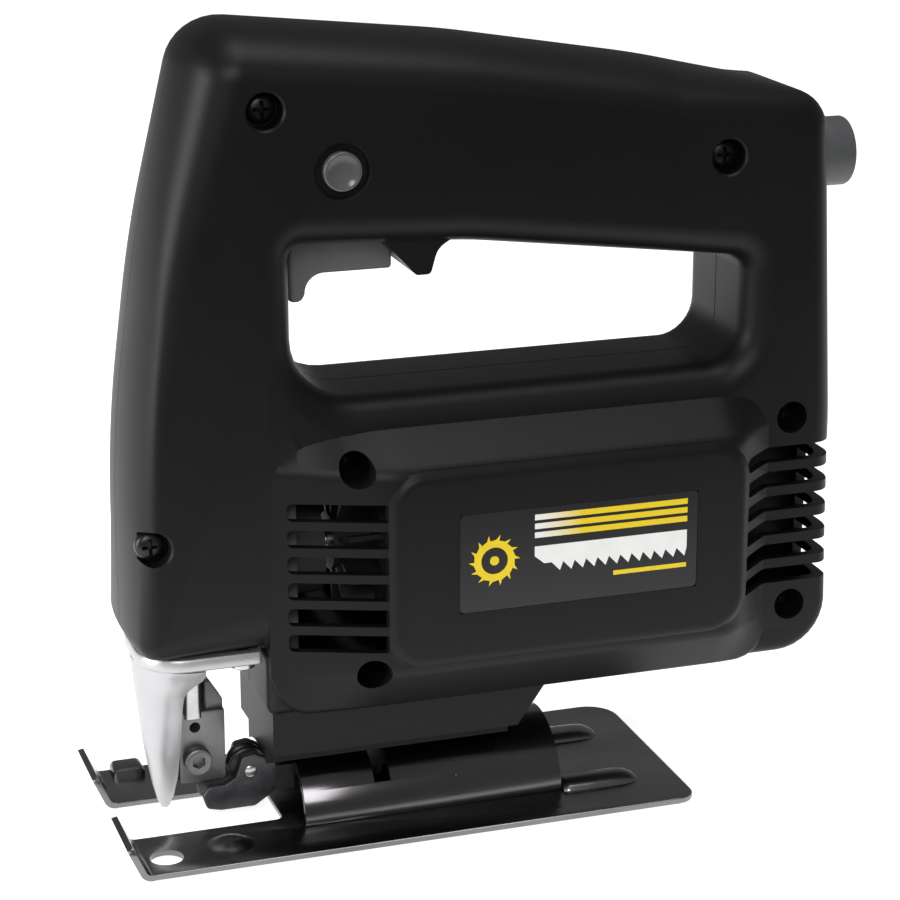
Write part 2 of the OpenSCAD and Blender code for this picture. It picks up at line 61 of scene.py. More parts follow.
bpy.ops.mesh.primitive_plane_add(size=6, location=(0, 0, -0.0002))
floor = bpy.context.object
floor.name = "floor"
paint = bpy.data.materials.new("glowing_floor_painted_dark_front")
paint.use_nodes = True
tree = paint.node_tree
shader = tree.nodes["Principled BSDF"]
shader.inputs["Roughness"].default_value = 0.9
shader.inputs["Specular IOR Level"].default_value = 0.0
shader.inputs["Emission Color"].default_value = (1, 1, 1, 1)
place = tree.nodes.new("ShaderNodeTexCoord")
split = tree.nodes.new("ShaderNodeSeparateXYZ")
tree.links.new(place.outputs["Object"], split.inputs["Vector"])
# painted glow and painted shade: colour and glow fade from dark at the near end to pale and
# glowing behind the saw
for low, high, socket in ((0.05, 0.85, "Base Color"), (0.0, 0.78, "Emission Strength")):
    fade = tree.nodes.new("ShaderNodeMapRange")
    fade.inputs["From Min"].default_value = -0.3
    fade.inputs["From Max"].default_value = -0.14
    fade.inputs["To Min"].default_value = low
    fade.inputs["To Max"].default_value = high
    tree.links.new(split.outputs["Y"], fade.inputs["Value"])
    tree.links.new(fade.outputs["Result"], shader.inputs[socket])
floor.data.materials.append(paint)

studio = bpy.data.worlds.new("studio")
studio.use_nodes = True
studio.node_tree.nodes["Background"].inputs["Color"].default_value = (1, 1, 1, 1)
studio.node_tree.nodes["Background"].inputs["Strength"].default_value = 0.2
bpy.context.scene.world = studio
bpy.context.scene.view_settings.view_transform = "Standard"


def lamp(name, place, target, size, power):
    """A square soft lamp that points from its place at a target."""
    bpy.ops.object.light_add(type="AREA", location=place)
    made = bpy.context.object
    made.name = name
    made.data.size = size
    made.data.energy = power
    aim = Vector(target) - Vector(place)
    made.rotation_euler = aim.to_track_quat("-Z", "Y").to_euler()


lamp("nose_lamp", (-1.3, -0.1, 0.35), (0, 0, 0.1), 0.7, 13)
lamp("side_lamp", (-0.4, -1.3, 0.9), (0, 0, 0.1), 0.6, 9)
lamp("top_lamp", (0.2, -0.2, 1.6), (0, 0.1, 0), 0.8, 9)

# ---- the two moulded shells -----------------------------------------------------------------
# Each half of the casing is a black ABS moulding about 2.5 mm thick, fine spark texture
# outside, parted on the middle plane. Screws from the left side hold the halves together.


def unit(a, b):
    """Direction and length from point a to point b in a plane."""
    length = math.hypot(b[0] - a[0], b[1] - a[1])
    return (b[0] - a[0]) / length, (b[1] - a[1]) / length, length


def outline(corners, shift=0.0, steps=8):
    """Rounded outline through corners (across, up, radius), anticlockwise, moved inwards."""
    moved = []
    count = len(corners)
    for i, (x, z, r) in enumerate(corners):
        before = unit(corners[i - 1], corners[i])
        after = unit(corners[i], corners[(i + 1) % count])
        turn = before[0] * after[1] - before[1] * after[0]
        scale = shift / (1 + before[0] * after[0] + before[1] * after[1])
        moved.append(
            (
                x - scale * (before[1] + after[1]),
                z + scale * (before[0] + after[0]),
                max(0.3, r - shift if turn > 0 else r + shift),
            )
        )
    points = []
    for i, (x, z, r) in enumerate(moved):
        back = unit(moved[i], moved[i - 1])
        on = unit(moved[i], moved[(i + 1) % count])
        cosine = max(-0.999999, min(0.999999, back[0] * on[0] + back[1] * on[1]))
        half = math.acos(cosine) / 2
        reach = r / math.tan(half)
        middle = (back[0] + on[0], back[1] + on[1])
        size = math.hypot(*middle) or 1.0
        cx = x + middle[0] / size * r / math.sin(half)
        cz = z + middle[1] / size * r / math.sin(half)
        start = math.atan2(z + back[1] * reach - cz, x + back[0] * reach - cx)
        end = math.atan2(z + on[1] * reach - cz, x + on[0] * reach - cx)
        sweep = (end - start + 3 * math.pi) % (2 * math.pi) - math.pi
        for k in range(steps + 1):
            angle = start + sweep * k / steps
            points.append((cx + r * math.cos(angle), cz + r * math.sin(angle)))
    return points


def loft(name, rings):
    """A closed solid through rings of equal count, in millimetres, from a shaped grid."""
    across, up = len(rings[0]), len(rings)
    bpy.ops.object.select_all(action="DESELECT")
    bpy.ops.mesh.primitive_grid_add(x_subdivisions=across, y_subdivisions=up - 1, size=1)
    made = bpy.context.object
    made.name = name
    for j, ring in enumerate(rings):
        for i in range(across + 1):
            made.data.vertices[j * (across + 1) + i].co = Vector(ring[i % across]) * mm
    bpy.ops.object.mode_set(mode="EDIT")
    bpy.ops.mesh.select_all(action="SELECT")
    bpy.ops.mesh.remove_doubles(threshold=1e-7)
    bpy.ops.mesh.select_all(action="DESELECT")
    bpy.ops.mesh.select_non_manifold()
    bpy.ops.mesh.fill_holes(sides=0)
    bpy.ops.mesh.select_all(action="SELECT")
    bpy.ops.mesh.normals_make_consistent(inside=False)
    bpy.ops.object.mode_set(mode="OBJECT")
    return made


def plate_y(name, points, y0, y1):
    """A flat outline in X and Z, from y0 to y1."""
    return loft(name, [[(x, y, z) for x, z in points] for y in (y0, y1)])


def bar(name, low, high):
    """A straight block between two corners."""
    points = [(low[0], low[2]), (high[0], low[2]), (high[0], high[2]), (low[0], high[2])]
    return plate_y(name, points, low[1], high[1])


def turned(name, profile, centre, axis, sides=48):
    """A turned piece: profile of (radius, distance along the axis) about a centre."""
    rings = []
    for radius, along in profile:
        ring = []
        for i in range(sides):
            a = 2 * math.pi * (i + 0.5) / sides
            p = {
                "x": (along, radius * math.cos(a), radius * math.sin(a)),
                "y": (radius * math.cos(a), along, radius * math.sin(a)),
                "z": (radius * math.cos(a), radius * math.sin(a), along),
            }[axis]
            ring.append(tuple(c + q for c, q in zip(centre, p)))
        rings.append(ring)
    return loft(name, rings)


def combine(piece, tool, way):
    """Adds, cuts or keeps a tool's volume, then removes the tool."""
    bpy.ops.object.select_all(action="DESELECT")
    bpy.context.view_layer.objects.active = piece
    piece.select_set(True)
    step = piece.modifiers.new("combine", "BOOLEAN")
    step.operation = way
    step.object = tool
    step.solver = "MANIFOLD"
    bpy.ops.object.modifier_apply(modifier=step.name)
    bpy.data.objects.remove(tool)
    return piece


def cut(piece, tool):
    return combine(piece, tool, "DIFFERENCE")


def add(piece, tool):
    return combine(piece, tool, "UNION")


def soften(piece, width, segments=2, angle=35):
    """Rounds the hard edges by a small radius."""
    bpy.ops.object.select_all(action="DESELECT")
    bpy.context.view_layer.objects.active = piece
    piece.select_set(True)
    step = piece.modifiers.new("soften", "BEVEL")
    step.width = width * mm
    step.segments = segments
    step.limit_method = "ANGLE"
    step.angle_limit = math.radians(angle)
    step.harden_normals = False
    bpy.ops.object.modifier_apply(modifier=step.name)
    return piece


def put_on(piece, material, slot, body, *stands_for, angle=35):
    """Shades a finished piece, gives it its material and fixes it to its body."""
    bpy.ops.object.select_all(action="DESELECT")
    bpy.context.view_layer.objects.active = piece
    piece.select_set(True)
    bpy.ops.object.shade_smooth_by_angle(angle=math.radians(angle))
    if not any(piece.data.materials):
        piece.data.materials.clear()
        piece.data.materials.append(material)
        for face in piece.data.polygons:
            face.material_index = 0
    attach(piece, body)
    if stands_for:
        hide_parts(*stands_for)
    return piece


def surface(name, colour, rough, metal=0.0, vary=0.12, patch=40.0, grain=1800.0, bump=0.02,
            relief=0.00005, rough_vary=0.08, stretch=(1, 1, 1)):
    """A finish with cloudy colour, uneven gloss and a fine grain in its height."""
    made = bpy.data.materials.new(name)
    made.use_nodes = True
    tree = made.node_tree
    shader = tree.nodes["Principled BSDF"]
    shader.inputs["Metallic"].default_value = metal
    place = tree.nodes.new("ShaderNodeTexCoord")
    turn = tree.nodes.new("ShaderNodeMapping")
    turn.inputs["Scale"].default_value = stretch
    tree.links.new(place.outputs["Object"], turn.inputs["Vector"])
    cloud = tree.nodes.new("ShaderNodeTexNoise")
    cloud.inputs["Scale"].default_value = patch
    cloud.inputs["Detail"].default_value = 6
    tree.links.new(turn.outputs["Vector"], cloud.inputs["Vector"])
    tint = tree.nodes.new("ShaderNodeValToRGB")
    tint.color_ramp.elements[0].position = 0.3
    tint.color_ramp.elements[1].position = 0.7
    tint.color_ramp.elements[0].color = [c * (1 - vary) for c in colour] + [1]
    tint.color_ramp.elements[1].color = [min(1, c * (1 + vary)) for c in colour] + [1]
    tree.links.new(cloud.outputs["Fac"], tint.inputs["Fac"])
    tree.links.new(tint.outputs["Color"], shader.inputs["Base Color"])
    gloss = tree.nodes.new("ShaderNodeMapRange")
    gloss.inputs["To Min"].default_value = max(0.03, rough - rough_vary)
    gloss.inputs["To Max"].default_value = min(1.0, rough + rough_vary)
    tree.links.new(cloud.outputs["Fac"], gloss.inputs["Value"])
    tree.links.new(gloss.outputs["Result"], shader.inputs["Roughness"])
    speck = tree.nodes.new("ShaderNodeTexNoise")
    speck.inputs["Scale"].default_value = grain
    speck.inputs["Detail"].default_value = 3
    tree.links.new(turn.outputs["Vector"], speck.inputs["Vector"])
    height = tree.nodes.new("ShaderNodeBump")
    height.inputs["Strength"].default_value = min(1.0, bump * 10)
    height.inputs["Distance"].default_value = relief
    tree.links.new(speck.outputs["Fac"], height.inputs["Height"])
    tree.links.new(height.outputs["Normal"], shader.inputs["Normal"])
    return made


half_w, motor_w, wall, belly, head = 20.0, 31.0, 2.5, 32.0, 47.7
body_line = [
    (-36, belly, 2), (108.6, belly, 13), (109, 92, 150), (104.8, 171.7, 10), (62, 181.7, 200),
    (14, 189.7, 200), (-48.9, 196.3, 13), (-61, 143, 300), (-67.3, 97, 300),
    (-67.3, head, 6), (-36, head, 1),
]
grip_line = [(-28, 108, 15), (84.3, 108, 9), (84.3, 134, 4), (15, 142.8, 100), (-28, 144.8, 3)]
spur_line = [
    (-6.5, 147, 0.5), (-5, 143.4, 1.5), (2.2, 135.6, 1.2), (5.7, 135.6, 1.2), (7.4, 141.6, 5),
    (13, 145, 1), (13, 147, 0.5),
]
short_screws = [(-34.2, 176.5), (78, 159.4), (-62.6, 77)]
deep_screws = [(-15.8, 93.4), (-12.6, 43.2), (96.8, 93.8), (98, 45)]
lock_x, lock_z = -16.6, 162.0
motor_z, plunger_x, sleeve_z = 68.0, -51.0, 155.0


def bulge_width(x):
    """How far the motor bulge stands out at a place along the casing."""
    plan = [(-40, 18), (-10, 29.6), (-6, 30.2), (79, 30.2), (92, 18.5), (110, 17.5)]
    for (x0, w0), (x1, w1) in zip(plan, plan[1:]):
        if x <= x1:
            return w0 + (w1 - w0) * (x - x0) / (x1 - x0)
    return plan[-1][1]


def bulge(name, side, shift):
    """The swelling over the motor: sections across the saw, joined from nose to tail."""
    rings = []
    first, last = -35.6 + shift, 93.0 - shift
    stations = [first + k * k * 0.14 for k in range(11)]
    stations += [-18, -14, -12, -11, -10, -9, -8, -7, -6, -5, 0, 20, 40, 60, 72, 75, 76.5,
                 78, 79.5, 81, 83]
    stations += [last - k * k * 0.14 for k in range(8, -1, -1)]
    for x in stations:
        round_in = max(0.0, first + 10 - x, x - last + 10)
        inset = 10 - math.sqrt(max(0.0, 100 - round_in * round_in))
        near = [bulge_width(x + d) for d in (-3, -1.5, 0, 1.5, 3)]
        w = sum(near) / 5 - shift
        low, high = belly + 0.1 + shift + inset, 102.4 - shift - inset
        foot = min(w + 0.5, 21.5 - shift)
        section = [
            (-3 if shift else 1, low, 0.3), (foot, low, 2.5), (w, max(43.5, low + 3), 5),
            (w, min(92.5, high - 3), 5), (min(w - 0.5, half_w - 2 - shift), high, 2.5),
            (-3 if shift else 1, high, 0.3),
        ]
        rings.append([(x, side * y, z) for y, z in outline(section, 0, 6)])
    return loft(name, rings)


def body_form(name, side, shift, start):
    """Half of the main body: crowned on its top and nose, with tighter edges elsewhere."""
    wide = half_w - shift
    stations = [start, 0.15 + start] + [wide * math.sin(math.radians(6 * k)) for k in range(1, 16)]
    rings = []
    for k, y in enumerate(stations):
        groove = 0.15 if k == 0 and not shift else 0.0
        lines = []
        for reach, drop in ((wide, 12), (wide, 6.5), (6.5, 6.0), (3.2, 3.0)):
            t = min(1.0, max(0.0, y - wide + reach) / reach)
            drop -= 0.5 * shift
            lines.append(outline(body_line, shift + groove + drop * (1 - math.sqrt(1 - t * t))))
        ring = []
        for top, nose, tail, foot in zip(*lines):
            x, z = top
            share = [
                (nose, min(1.0, max(0.0, (-x - 42) / 14)) * min(1.0, max(0.0, (200 - z) / 20))),
                (tail, min(1.0, max(0.0, (x - 70) / 25))),
                (foot, min(1.0, max(0.0, (60 - z) / 12))),
            ]
            for line, weight in share:
                x += (line[0] - x) * weight
                z += (line[1] - z) * weight
            ring.append((x, side * y, z))
        rings.append(ring)
    return loft(name, rings)


def grip_form(name, side, shift, edge, far):
    """The hand opening as a cutter that flares at the casing's side."""
    rings = [(-3, -shift)]
    if not shift:
        rings = [(-3, -0.2), (0, -0.2), (0.2, 0)]
    rings += [
        (half_w - shift - edge * (1 - math.sin(t)), -shift - edge * (1 - math.cos(t)))
        for t in [math.radians(90 * k / 7) for k in range(8)]
    ]
    rings.append((far, -shift - edge))
    return loft(
        name, [[(x, side * y, z) for x, z in outline(grip_line, d)] for y, d in rings]
    )


def saddle(side):
    """The foot of the casing that sits on the tilt bracket."""
    profile = [(-34.4, 12), (27.7, 12), (27.7, 20.5), (37.2, belly + 2), (-34.4, belly + 2)]
    foot = plate_y("saddle", outline([(x, z, 0.6) for x, z in profile], 0, 3), 0, side * 16)
    cut(foot, turned("tunnel", [(17.6, -45), (17.6, 45)], (0, 0, 0), "x", 72))
    low, high = sorted((side * 8.4, side * 25))
    cut(foot, bar("undercut", (-45, low, 5), (45, high, 20.3)))
    return foot


def shell(name, side):
    """One half of the casing, hollow, with its posts, seats and slots."""
    def span(a, b):
        return sorted((side * a, side * b))

    outer = body_form(name, side, 0.0, 0.0)
    cut(outer, grip_form("grip", side, 0.0, 7.5, half_w + 3))
    add(outer, bulge("bulge", side, 0.0))
    panel = [(-8.6, 45, 8), (80.5, 45, 9), (80.5, 92, 9), (-8.6, 92, 8)]
    add(outer, loft("panel", [[(x, side * y, z) for x, z in outline(panel, d)] for y, d in (
        (25, -2.6), (29.7, -0.9), (30.3, 0), (30.75, 0.6), (30.95, 1.3), (motor_w, 2.2))]))
    add(outer, saddle(side))
    low, high = span(0.0, 15)
    add(outer, plate_y("spur", outline(spur_line, 0, 4), low, high))

    # cooling slots in front of and behind the motor, cut while the casing is solid
    for k in range(6):
        z = 51.2 + 6.44 * k
        front = outline([(-31.5, z - 2.15, 1.2), (-9.4, z - 2.15, 0.4), (-9.4, z + 2.15, 0.4),
                         (-31.5, z + 2.15, 1.2)], 0, 3)
        cut(outer, plate_y("front_slot", front, *span(15, 40)))
        z = 53.2 + 6.3 * k
        rear = outline([(82, z - 1.95, 1.6), (122, z - 1.95, 0.4), (122, z + 1.95, 0.4),
                        (82, z + 1.95, 1.6)], 0, 3)
        cut(outer, plate_y("rear_slot", rear, *span(4, 40)))

    hollow = body_form("hollow", side, wall, -3.0)
    cut(hollow, grip_form("grip_wall", side, wall, 5.0, half_w + 3))
    add(hollow, bulge("bulge_hollow", side, wall))
    for x, z in short_screws:
        cut(hollow, turned("post", [(4.7, -5 * side), (4.7, side * 25)], (x, 0, z), "y", 32))
    for x, z in deep_screws:
        cut(hollow, turned("post", [(5.4, -5 * side), (5.4, side * 36)], (x, 0, z), "y", 32))
    cut(hollow, turned("post", [(6.8, 12.3 * side), (6.8, 25 * side)], (lock_x, 0, lock_z), "y"))
    for x0, x1, z0, z1 in [(-70, -42.5, 55, 70.3), (-70, -42.5, 111.5, 124.5),
                           (73.2, 81.6, 30, 103), (16, 18.5, 30, 103), (39.5, 42, 30, 103)]:
        low, high = span(-5, 40)
        cut(hollow, bar("rib", (x0, low, z0), (x1, high, z1)))
    cut(outer, hollow)
    if side > 0:
        # baffle that parts the outgoing air behind the motor
        add(outer, bar("baffle", (83, 0.2, 34), (107, 2.2, 100)))

    # seats of the motor, bearing, bushes, guard, trigger, cord sleeve and tilt bolt
    seats = [
        turned("seat", [(25, 13), (25, 45)], (0, 0, motor_z), "x", 72),
        turned("seat", [(9.5, 75), (9.5, 81)], (0, 0, motor_z), "x"),
        turned("seat", [(6, 72), (6, 84)], (0, 0, motor_z), "x"),
        turned("seat", [(8, 58), (8, 69.5)], (plunger_x, 0, 0), "z"),
        turned("seat", [(6.5, 56.5), (6.5, 58.5)], (plunger_x, 0, 0), "z"),
        turned("seat", [(5, 50), (5, 130)], (plunger_x, 0, 0), "z"),
        turned("seat", [(8, 112), (8, 124)], (plunger_x, 0, 0), "z"),
        turned("seat", [(8.5, 95), (8.5, 115)], (0, 0, sleeve_z), "x"),
        turned("seat", [(2.05, 10), (2.05, 30)], (-6.8, 0, 0), "z"),
        bar("seat", (-57, -6.5, 40), (-41.5, 6.5, 56)),
        bar("seat", (-27.8, -7.4, 130), (2.2, 7.4, 149)),
        bar("seat", (-10.3, -3.5, 23), (-3.3, 3.5, 26.2)),
    ]
    for seat in seats:
        cut(outer, seat)
    return outer


black_abs = surface("black_abs", (0.0056, 0.0044, 0.0054), 0.44, vary=0.10, patch=25,
                    grain=2600, bump=0.035, relief=0.00006, rough_vary=0.05)
black_abs.node_tree.nodes["Principled BSDF"].inputs["Specular IOR Level"].default_value = 0.22

left = shell("left_shell", -1)
for x, z in short_screws:
    hole = [(4.9, -half_w - 2), (4.75, -half_w - 0.02), (4.25, -half_w + 0.5),
            (4.2, -half_w + 5.5), (1.7, -half_w + 5.6), (1.7, 1)]
    cut(left, turned("counterbore", hole, (x, 0, z), "y"))
for x, z in deep_screws:
    hole = [(4, -motor_w - 5), (4, -11), (1.7, -10.9), (1.7, 1)]
    cut(left, turned("deep_bore", hole, (x, 0, z), "y"))
hole = [(6.9, -half_w - 2), (6.7, -half_w - 0.02), (6.2, -half_w + 0.5), (6.1, -half_w + 1.2),
        (4.6, -half_w + 1.25), (4.6, -12)]
cut(left, turned("button_bore", hole, (lock_x, 0, lock_z), "y"))
cut(left, bar("label_seat", (7.4, -motor_w - 1, 57.2), (67.6, -motor_w + 0.3, 81.7)))
put_on(left, black_abs, "casing_plastic", "casing", "left_housing", angle=30)

right = shell("right_shell", 1)
put_on(right, black_abs, "casing_plastic", "casing", "right_housing", angle=30)

# ---- screws that close the casing -----------------------------------------------------------
# Pan-head steel screws, black zinc, with a cross recess. Three sit in shallow recesses in
# the handle and head, four at the bottom of deep bores beside the motor.


def pan_screw(name, x, y, z, length):
    """One screw along Y: y is the underside of its head, which faces the left side."""
    profile = [
        (0.9, y - 2.42), (2.0, y - 2.32), (2.9, y - 1.95), (3.35, y - 1.4), (3.5, y - 0.8),
        (3.5, y - 0.12), (3.38, y), (1.5, y + 0.01), (1.5, y + length - 1), (0.7, y + length),
    ]
    made = turned(name, profile, (x, 0, z), "y", 40)
    for wide, tall in ((0.42, 2.0), (2.0, 0.42)):
        recess = []
        for along, share in ((y - 3, 1.15), (y - 2.3, 1.0), (y - 0.9, 0.45)):
            a = wide * (share if wide > 1 else 1)
            b = tall * (share if tall > 1 else 1)
            recess.append([(x + p * a, along, z + q * b)
                           for p, q in ((-1, -1), (1, -1), (1, 1), (-1, 1))])
        cut(made, loft("cross", recess))
    return made


def joined(name, pieces):
    """Several pieces as one object of separate solids."""
    bpy.ops.object.select_all(action="DESELECT")
    for piece in pieces:
        piece.select_set(True)
    bpy.context.view_layer.objects.active = pieces[0]
    bpy.ops.object.join()
    pieces[0].name = name
    return pieces[0]


black_zinc = surface("black_zinc", (0.035, 0.035, 0.037), 0.34, metal=0.85, vary=0.25,
                     patch=300, grain=3000, bump=0.03)
screws = [pan_screw("screw", x, -half_w + 5.5, z, 26) for x, z in short_screws]
put_on(joined("handle_screws", screws), black_zinc, "black_steel", "casing", "casing_screws")
screws = [pan_screw("screw", x, -11, z, 22) for x, z in deep_screws]
put_on(joined("motor_side_screws", screws), black_zinc, "black_steel", "casing", "motor_screws")

# ---- label ----------------------------------------------------------------------------------
# A printed film set flush in the side of the motor bulge: glossy black with plain yellow
# stripes, a white toothed blade and a toothed wheel, all generic marks without lettering.

film = surface("black_film", (0.006, 0.006, 0.007), 0.22, vary=0.1, patch=60, grain=900,
               bump=0.01, rough_vary=0.04)
yellow_ink = surface("yellow_ink", (0.85, 0.62, 0.01), 0.3, vary=0.04, patch=200, bump=0.01)
white_ink = surface("white_ink", (0.86, 0.86, 0.84), 0.3, vary=0.03, patch=200, bump=0.01)
fading_ink = surface("fading_ink", (0.85, 0.62, 0.01), 0.3, vary=0.04, patch=200, bump=0.01)
tree = fading_ink.node_tree
place = tree.nodes.new("ShaderNodeTexCoord")
split = tree.nodes.new("ShaderNodeSeparateXYZ")
fade = tree.nodes.new("ShaderNodeMapRange")
fade.inputs["From Min"].default_value = 0.027
fade.inputs["From Max"].default_value = 0.038
ink = tree.nodes.new("ShaderNodeValToRGB")
ink.color_ramp.elements[0].color = (0.86, 0.86, 0.84, 1)
ink.color_ramp.elements[1].color = (0.85, 0.62, 0.01, 1)
tree.links.new(place.outputs["Object"], split.inputs["Vector"])
tree.links.new(split.outputs["X"], fade.inputs["Value"])
tree.links.new(fade.outputs["Result"], ink.inputs["Fac"])
tree.links.new(ink.outputs["Color"], tree.nodes["Principled BSDF"].inputs["Base Color"])


def printed(name, points, ink_used):
    """A patch of ink, a hair thick, on the film."""
    made = plate_y(name, points, -motor_w, -motor_w + 0.06)
    made.data.materials.append(ink_used)
    return made


plate = outline([(7.5, 57.3, 1.2), (67.5, 57.3, 1.2), (67.5, 81.6, 1.2), (7.5, 81.6, 1.2)])
label = plate_y("label", plate, -motor_w + 0.05, -motor_w + 0.3)
label.data.materials.append(film)
art = [label]
for k in range(3):
    top = 79.9 - 2.2 * k
    art.append(printed("stripe", [(26, top - 1.4), (64.8, top - 1.4), (64.8, top), (26, top)],
                       fading_ink))
teeth = [(26, 72), (64.8, 72), (64.8, 67.6)]
for k in range(12):
    x = 64.8 - 2.9 * k
    teeth += [(x - 0.5, 65.4), (x - 2.6, 67.6)]
teeth += [(28.4, 67.6), (26, 69.6)]
art.append(printed("blade_mark", teeth, white_ink))
art.append(printed("underline", [(46, 62.6), (64.8, 62.6), (64.8, 63.7), (46, 63.7)], yellow_ink))
wheel = []
for k in range(14):
    for turn, reach in ((0.0, 6.4), (0.32, 5.2), (0.98, 5.0)):
        a = 2 * math.pi * (k + turn) / 14
        wheel.append((16 + reach * math.cos(a), 69.6 + reach * math.sin(a)))
mark = printed("wheel_mark", wheel, yellow_ink)
cut(mark, turned("hub", [(3.3, -motor_w - 1), (3.3, -motor_w + 1)], (16, 0, 69.6), "y", 40))
art.append(mark)
art.append(printed("hub_mark", outline([(14.9, 68.5, 1), (17.1, 68.5, 1), (17.1, 70.7, 1),
                                        (14.9, 70.7, 1)]), yellow_ink))
put_on(joined("label", art), film, "label_film", "casing", "label_plate")

# ---- nose guard -----------------------------------------------------------------------------
# A cast aluminium guard screwed under the head: a flat flange that follows the nose, and a
# tapered finger, a channel open to the rear, that comes down in front of the blade.

cast = surface("cast_alloy", (0.50, 0.50, 0.51), 0.34, metal=0.6, vary=0.07, patch=90,
               grain=1500, bump=0.05, relief=0.00008, rough_vary=0.08)


def taper(z, stations):
    """Reads a smooth taper given as (height, value) pairs."""
    for (z0, v0), (z1, v1) in zip(stations, stations[1:]):
        if z <= z1:
            return v0 + (v1 - v0) * (z - z0) / (z1 - z0)
    return stations[-1][1]


front_line = [(4, -58.7), (6, -59.6), (10, -60.7), (20, -62.5), (30, -63.6), (45, -65)]
rear_line = [(4, -57.4), (8, -56.2), (14, -55.4), (24, -54.9), (34, -54.8), (37, -54.4),
             (39, -53), (40.5, -50.8), (41.5, -50.1), (45, -50)]
side_line = [(4, 0.7), (5, 1.7), (8, 3.0), (14, 4.9), (20, 6.6), (26, 8.1), (32, 9.5),
             (36, 10.7), (39, 12), (42, 13.9), (45, 16)]


def finger(name, thin, heights, tail):
    """Horizontal sections of the finger: a rounded nose and straight sides."""
    rings = []
    for z in heights:
        front, rear = taper(z, front_line) + thin, taper(z, rear_line) + tail
        side = max(0.25, taper(z, side_line) - thin)
        flank = front + min(1.15 * side + 1, (rear - front) * 0.85)
        ring = [(rear, side, z)]
        for k in range(25):
            a = math.pi / 2 + math.pi * k / 24
            ring.append((flank + (flank - front) * math.cos(a), side * math.sin(a), z))
        ring.append((rear, -side, z))
        rings.append(ring)
    return loft(name, rings)


levels = [4.0, 4.4, 5, 6, 8, 10, 12] + [14 + 1.5 * k for k in range(21)]
guard = finger("guard", 0.0, levels, 0.0)
cut(guard, finger("channel", 1.5, [9, 10, 12] + [14 + 1.5 * k for k in range(24)], 12))
flange = [(-65.1, -16, 11), (-36.5, -16, 1), (-36.5, 16, 1), (-65.1, 16, 11)]
rings = [(44.5, 0.4), (44.9, 0), (47.2, 0), (47.68, 0.3)]
add(guard, loft("flange", [[(x, y, z) for x, y in outline(flange, d)] for z, d in rings]))
cut(guard, bar("window", (-57, -6.5, 40), (-41.5, 6.5, 50)))
for y in (-12, 12):
    cut(guard, turned("screw_hole", [(1.6, 40), (1.6, 50)], (-40.5, y, 0), "z", 24))
soften(guard, 0.25, 2, 40)
put_on(guard, cast, "guard_alloy", "casing", "nose_guard", angle=40)

zinc = surface("bright_zinc", (0.6, 0.6, 0.61), 0.3, metal=1.0, vary=0.12, patch=300, bump=0.03)
pair = []
for y in (-12, 12):
    head_shape = [(1.5, head), (1.5, head - 3.2), (3, head - 3.22), (3, head - 4.4),
                  (2.2, head - 4.95), (0.8, head - 5)]
    screw = turned("guard_screw", head_shape, (-40.5, y, 0), "z", 32)
    cut(screw, bar("slot", (-43, y - 0.4, head - 6), (-38, y + 0.4, head - 4.2)))
    pair.append(screw)
put_on(joined("guard_screw_pair", pair), zinc, "zinc_steel", "casing", "guard_screws")

# ---- trigger --------------------------------------------------------------------------------
# A grey moulded trigger that pivots at its front end inside the handle. Its finger face is
# scooped, and a hooked lip at its front keeps the finger from sliding off.

grey_plastic = surface("grey_plastic", (0.115, 0.115, 0.118), 0.38, vary=0.08, patch=120,
                       grain=2200, bump=0.03)
scoop = [(-17.6 + 4.5 * math.cos(math.radians(a)), 131.2 + 4.5 * math.sin(math.radians(a)))
         for a in range(180, 89, -9)]
profile = [(-1.2, 135.7), (-1.2, 149.5), (-26.1, 149.5), (-26.1, 130.2), (-25.7, 129.5),
           (-25, 129.2), (-23.8, 129.2), (-23, 129.6), (-22.4, 130.4)] + scoop
lever = plate_y("lever", profile, -7, 7)
soften(lever, 0.9, 3, 50)
add(lever, bar("collar", (-30, -9.2, 148.3), (1, 9.2, 150.5)))
ear = outline([(-34, 148.4, 1.5), (-20, 148.4, 0.4), (-20, 153, 0.8), (-34, 153, 2)])
add(lever, plate_y("ear", ear, -6.98, 6.98))
add(lever, bar("finger", (-8, -2.5, 150), (-4, 2.5, 161)))
cut(lever, turned("pivot_hole", [(1.55, -10), (1.55, 10)], (-31, 0, 151), "y", 32))
put_on(lever, grey_plastic, "trigger_plastic", "trigger", "trigger", angle=40)

# ---- lock-on button -------------------------------------------------------------------------
# A small glossy grey push button with a dished face, in a stepped hole beside the trigger.
# A spring under its shoulder pushes it back out.

button_plastic = surface("button_plastic", (0.10, 0.10, 0.105), 0.16, vary=0.1, patch=200,
                         grain=1200, bump=0.015, rough_vary=0.05)
profile = [(0.4, -19.75), (1.8, -19.85), (3.1, -20.15), (3.7, -20.5), (4.05, -20.6),
           (4.35, -20.5), (4.5, -20.2), (4.5, -13.4), (4.4, -13.2), (2, -13.19), (2, -9.5),
           (1.8, -9.4)]
button = turned("lock_on_button", profile, (lock_x, 0, lock_z), "y", 56)
put_on(button, button_plastic, "button_plastic", "lock", "lock_button", angle=50)

# ---- cord sleeve ----------------------------------------------------------------------------
# A short soft sleeve, gripped by its collar between the two shells, where the mains cord
# would come out. No cord is fitted, so its bore is open.

sleeve_rubber = surface("sleeve_rubber", (0.085, 0.087, 0.09), 0.5, vary=0.1, patch=150,
                        grain=1500, bump=0.04)
profile = [
    (3.75, 96), (8.5, 96), (8.5, 99.5), (10.4, 99.6), (10.4, 102.5), (8.5, 102.6),
    (8.5, 116.6), (8.3, 117.05), (7.9, 117.2), (4.3, 117.2), (3.9, 117.0), (3.75, 116.6),
]
sleeve = turned("sleeve", profile, (0, 0, sleeve_z), "x", 56)
cut(sleeve, turned("cord_hole", [(3.75, 90), (3.75, 130)], (0, 0, sleeve_z), "x", 56))
put_on(sleeve, sleeve_rubber, "sleeve_rubber", "casing", "cord_sleeve", angle=40)

